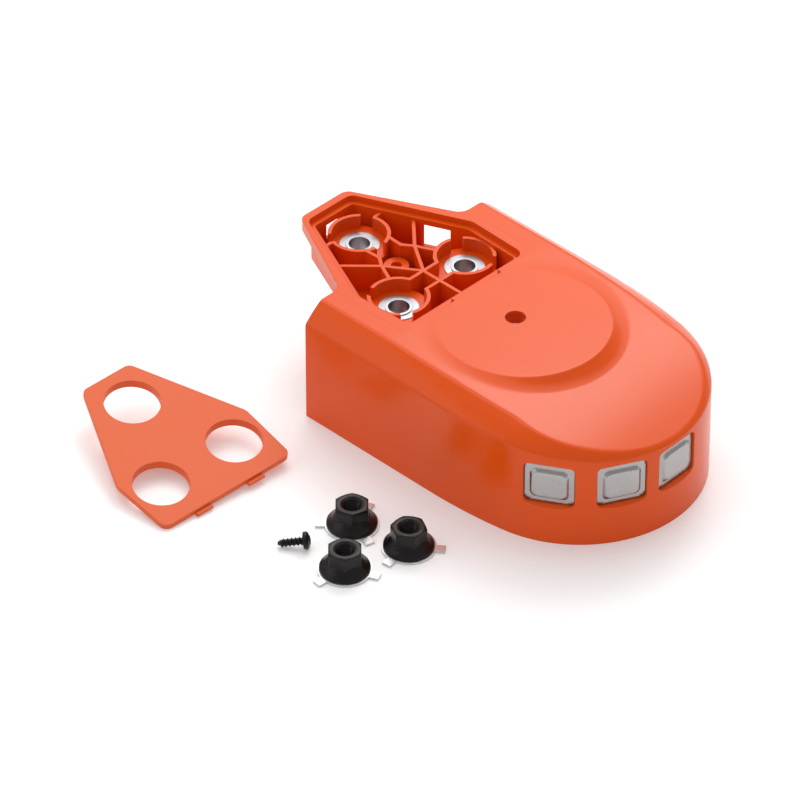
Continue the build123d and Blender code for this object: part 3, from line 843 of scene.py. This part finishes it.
class COVERKIT_OT_cover_plate(bpy.types.Operator):
    """Build the loose cover plate"""

    bl_idname = "coverkit.cover_plate"
    bl_label = "Cover plate"

    def execute(self, context):
        look = context.scene.cover_finish
        material = moulded("orange_plate", look.plate_orange, look.plate_gloss, 0.5)
        piece = cad_copy("cover_plate", "loose_cover_plate")
        finish_piece(piece, "cover_plate", "orange_satin", material, "cover_plate")
        return {"FINISHED"}


class COVERKIT_OT_fasteners(bpy.types.Operator):
    """Build the tab washers, flange nuts and the screw"""

    bl_idname = "coverkit.fasteners"
    bl_label = "Fasteners"

    def execute(self, context):
        look = context.scene.cover_finish
        sheet = stamped_steel("washer_sheet", look.steel, 0.4)
        black = black_oxide("black_oxide", look.black)
        for name, turn in zip(NUTS, HEX_TURNS):
            washer = cad_copy("tab_washer_" + name, "steel_washer_" + name)
            finish_piece(washer, "tab_washer_" + name, "washer_steel", sheet, "tab_washer_" + name)
            nut = flange_nut(name, turn)
            finish_piece(nut, "flange_nut_" + name, "black_steel", black, "flange_nut_" + name)
        finish_piece(screw(), "cover_screw", "black_steel", black, "cover_screw")
        return {"FINISHED"}


def area_light(name, location, target, size, power):
    """Soft rectangular light aimed at a point."""
    data = bpy.data.lights.new(name, "AREA")
    data.shape = "RECTANGLE"
    data.size, data.size_y = size
    data.energy = power
    light = bpy.data.objects.new(name, data)
    light.location = location
    light.rotation_euler = (Vector(target) - Vector(location)).to_track_quat("-Z", "Y").to_euler()
    bpy.context.scene.collection.objects.link(light)


class COVERKIT_OT_stage(bpy.types.Operator):
    """Lay the floor, set the lights and place the camera"""

    bl_idname = "coverkit.stage"
    bl_label = "Stage"

    def execute(self, context):
        stage = context.scene.cover_stage
        half = 6.0
        points = np.array(((-half, -half, 0), (half, -half, 0), (half, half, 0), (-half, half, 0)))
        floor = mesh_from("table", points - np.array((0, 0, 0.00002)), np.array(((0, 1, 2, 3),)))
        floor.data.materials.append(floor_paint())
        world = context.scene.world or bpy.data.worlds.new("studio")
        context.scene.world = world
        world.use_nodes = True
        sky = world.node_tree.nodes["Background"]
        sky.inputs["Color"].default_value = (1.0, 1.0, 1.0, 1.0)
        sky.inputs["Strength"].default_value = stage.sky
        aim = (0.0, 0.0, 0.02)
        area_light("overhead", (-0.75, 0.85, 1.55), aim, (2.4, 2.4), 27.0)
        area_light("key", (-0.63, 1.06, 1.44), aim, (0.6, 0.6), 6.0)
        area_light("front", (-0.9, -1.3, 1.0), aim, (1.2, 1.2), 4.0)
        a, e = stage.azimuth, stage.elevation
        back = Vector((math.sin(a) * math.cos(e), -math.cos(a) * math.cos(e), math.sin(e)))
        target = CENTRE + Vector((-78.65, -21.19, 0.0)) * MM
        data = bpy.data.cameras.new("camera")
        data.lens = stage.lens
        data.clip_end = 50.0
        camera = bpy.data.objects.new("camera", data)
        camera.location = target + back * stage.distance
        camera.rotation_euler = back.to_track_quat("Z", "Y").to_euler()
        context.scene.collection.objects.link(camera)
        context.scene.camera = camera
        context.scene.view_settings.view_transform = "Standard"
        return {"FINISHED"}


class COVERKIT_PT_panel(bpy.types.Panel):
    bl_idname = "COVERKIT_PT_panel"
    bl_label = "Cover Kit"
    bl_space_type = "VIEW_3D"
    bl_region_type = "UI"
    bl_category = "Cover Kit"

    def draw(self, context):
        layout = self.layout
        for name in OPERATORS:
            layout.operator("coverkit." + name)
        for group in (context.scene.cover_finish, context.scene.cover_stage):
            for key in group.__annotations__:
                layout.prop(group, key)


OPERATORS = ("stage", "housing", "windows", "bushes", "cover_plate", "fasteners")
CLASSES = (CoverFinishSettings, CoverStageSettings, COVERKIT_OT_stage, COVERKIT_OT_housing,
           COVERKIT_OT_windows, COVERKIT_OT_bushes, COVERKIT_OT_cover_plate,
           COVERKIT_OT_fasteners, COVERKIT_PT_panel)


def register():
    """Registers the classes and the scene's settings."""
    for item in CLASSES:
        bpy.utils.register_class(item)
    bpy.types.Scene.cover_finish = bpy.props.PointerProperty(type=CoverFinishSettings)
    bpy.types.Scene.cover_stage = bpy.props.PointerProperty(type=CoverStageSettings)


def unregister():
    """Removes the settings and the classes."""
    del bpy.types.Scene.cover_stage
    del bpy.types.Scene.cover_finish
    for item in reversed(CLASSES):
        bpy.utils.unregister_class(item)


def main():
    """Builds the whole kit."""
    register()
    for name in OPERATORS:
        getattr(bpy.ops.coverkit, name)()


if __name__ == "__main__":
    main()
